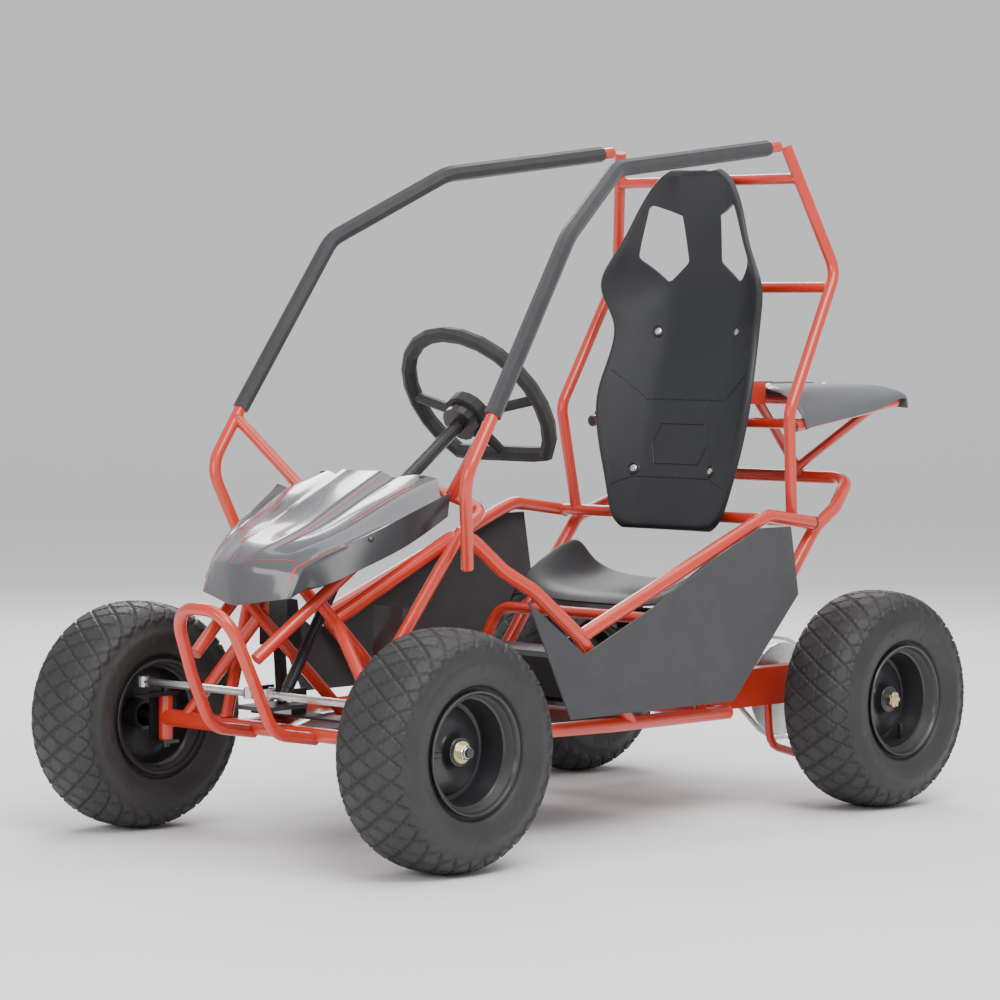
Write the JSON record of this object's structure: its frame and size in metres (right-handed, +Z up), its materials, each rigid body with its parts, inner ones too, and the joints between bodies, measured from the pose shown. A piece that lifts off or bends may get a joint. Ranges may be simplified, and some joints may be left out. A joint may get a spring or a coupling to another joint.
{
  "type": "electric off-road kart chassis",
  "caption": "Tubular off-road kart for a child: roll cage, bucket seat, steering, pedals, chain-driven live rear axle, knobbly tyres, side nets and a rear rack.",
  "frame": {"origin": "middle of the kart's bounding box on the ground", "axes": "+X to the driver's left, -Y forwards, +Z up"},
  "size_m": [0.819, 1.3978, 1.0838],
  "materials": {
    "tyre_rubber": "matt black",
    "black_steel": "satin black",
    "zinc_steel": "zinc plated",
    "net_fabric": "woven black",
    "foam_rubber": "matt black",
    "black_plastic": "grained black",
    "grey_gloss_plastic": "gloss graphite",
    "red_powder_coat": "gloss powder coat"
  },
  "bodies": {
    "chassis": {"axle_carrier_left": "red_powder_coat", "axle_carrier_right": "red_powder_coat", "battery_box": "black_plastic", "brake_cable": "foam_rubber", "brake_caliper": "black_steel", "bumper_loop": "red_powder_coat", "cage_tube_left": "red_powder_coat", "cage_tube_right": "red_powder_coat", "dash_hoop": "red_powder_coat", "drive_chain": "black_steel", "floor_pan": "black_steel", "foam_pad_left": "foam_rubber", "foam_pad_right": "foam_rubber", "front_beam": "red_powder_coat", "front_rail_left": "red_powder_coat", "front_rail_right": "red_powder_coat", "hood": "grey_gloss_plastic", "lower_frame": "red_powder_coat", "motor": "black_steel", "motor_plate": "black_steel", "nose_frame_left": "red_powder_coat", "nose_frame_right": "red_powder_coat", "pedal_bracket": "black_steel", "rack_frame": "red_powder_coat", "rack_leg_left": "red_powder_coat", "rack_leg_right": "red_powder_coat", "rack_panel": "grey_gloss_plastic", "rear_hoop": "red_powder_coat", "rear_loop": "red_powder_coat", "seat_back": "black_plastic", "seat_base": "black_plastic", "side_net_left": "net_fabric", "side_net_right": "net_fabric", "side_rails": "red_powder_coat"},
    "steering": {"steering_wheel": "foam_rubber", "steering_column": "black_steel"},
    "lower_steering": {"lower_shaft": "black_steel"},
    "stub_left": {"knuckle_left": "black_steel", "hub_nut_front_left": "zinc_steel"},
    "track_rod_left": {"tie_rod_left": "zinc_steel"},
    "front_wheel_left": {"tyre_front_left": "tyre_rubber", "rim_front_left": "black_steel"},
    "stub_right": {"knuckle_right": "black_steel", "hub_nut_front_right": "zinc_steel"},
    "track_rod_right": {"tie_rod_right": "zinc_steel"},
    "front_wheel_right": {"tyre_front_right": "tyre_rubber", "rim_front_right": "black_steel"},
    "rear_drive": {"rear_axle": "zinc_steel", "sprocket": "zinc_steel", "brake_disc": "zinc_steel", "tyre_rear_left": "tyre_rubber", "tyre_rear_right": "tyre_rubber", "rim_rear_left": "black_steel", "rim_rear_right": "black_steel", "hub_nut_rear_left": "zinc_steel", "hub_nut_rear_right": "zinc_steel"},
    "motor_rotor": {"motor_pinion": "zinc_steel"},
    "brake_lever": {"brake_pedal": "black_plastic"},
    "throttle_lever": {"throttle_pedal": "black_plastic"}
  },
  "joints": [
    {"name": "steering_turn", "type": "hinge", "parent": "chassis", "child": "steering", "pos_m": [0, -0.1396, 0.634], "axis": [0, -0.8142, -0.5805], "range_deg": [-30, 30]},
    {"name": "lower_shaft_turn", "type": "hinge", "parent": "chassis", "child": "lower_steering", "pos_m": [0, -0.3626, 0.475], "axis": [0, -0.5426, -0.84], "range_deg": [-30.5, 30.5]},
    {"name": "kingpin_left", "type": "hinge", "parent": "chassis", "child": "stub_left", "pos_m": [0.268, -0.5206, 0.17638], "axis": [0, 0, -1], "range_deg": [-21.5, 21.5]},
    {"name": "track_rod_pivot_left", "type": "hinge", "parent": "stub_left", "child": "track_rod_left", "pos_m": [0.26, -0.5726, 0.236], "axis": [0, 0, -1], "range_deg": [-21.5, 21.5]},
    {"name": "front_wheel_spin_left", "type": "hinge", "parent": "stub_left", "child": "front_wheel_left", "pos_m": [0.337, -0.5206, 0.17638], "axis": [1, 0, 0], "continuous": true},
    {"name": "kingpin_right", "type": "hinge", "parent": "chassis", "child": "stub_right", "pos_m": [-0.268, -0.5206, 0.17638], "axis": [0, 0, -1], "range_deg": [-21.5, 21.5]},
    {"name": "track_rod_pivot_right", "type": "hinge", "parent": "stub_right", "child": "track_rod_right", "pos_m": [-0.26, -0.5726, 0.236], "axis": [0, 0, -1], "range_deg": [-21.5, 21.5]},
    {"name": "front_wheel_spin_right", "type": "hinge", "parent": "stub_right", "child": "front_wheel_right", "pos_m": [-0.337, -0.5206, 0.17638], "axis": [1, 0, 0], "continuous": true},
    {"name": "rear_axle_spin", "type": "hinge", "parent": "chassis", "child": "rear_drive", "pos_m": [0, 0.4854, 0.17638], "axis": [1, 0, 0], "continuous": true},
    {"name": "motor_spin", "type": "hinge", "parent": "chassis", "child": "motor_rotor", "pos_m": [0.135, 0.2674, 0.2735], "axis": [1, 0, 0], "continuous": true},
    {"name": "brake_press", "type": "hinge", "parent": "chassis", "child": "brake_lever", "pos_m": [0.125, -0.4076, 0.215], "axis": [1, 0, 0], "range_deg": [0, 10], "stiffness_Nm_per_rad": 3, "springref_deg": -5.73},
    {"name": "throttle_press", "type": "hinge", "parent": "chassis", "child": "throttle_lever", "pos_m": [-0.125, -0.4076, 0.215], "axis": [1, 0, 0], "range_deg": [0, 10], "stiffness_Nm_per_rad": 2, "springref_deg": -5.73}
  ],
  "couplings": [
    {"joint": "lower_shaft_turn", "follows": "steering_turn", "ratio": 1},
    {"joint": "kingpin_left", "follows": "steering_turn", "ratio": 0.7},
    {"joint": "track_rod_pivot_left", "follows": "steering_turn", "ratio": -0.7},
    {"joint": "kingpin_right", "follows": "steering_turn", "ratio": 0.7},
    {"joint": "track_rod_pivot_right", "follows": "steering_turn", "ratio": -0.7},
    {"joint": "motor_spin", "follows": "rear_axle_spin", "ratio": 4.875}
  ]
}
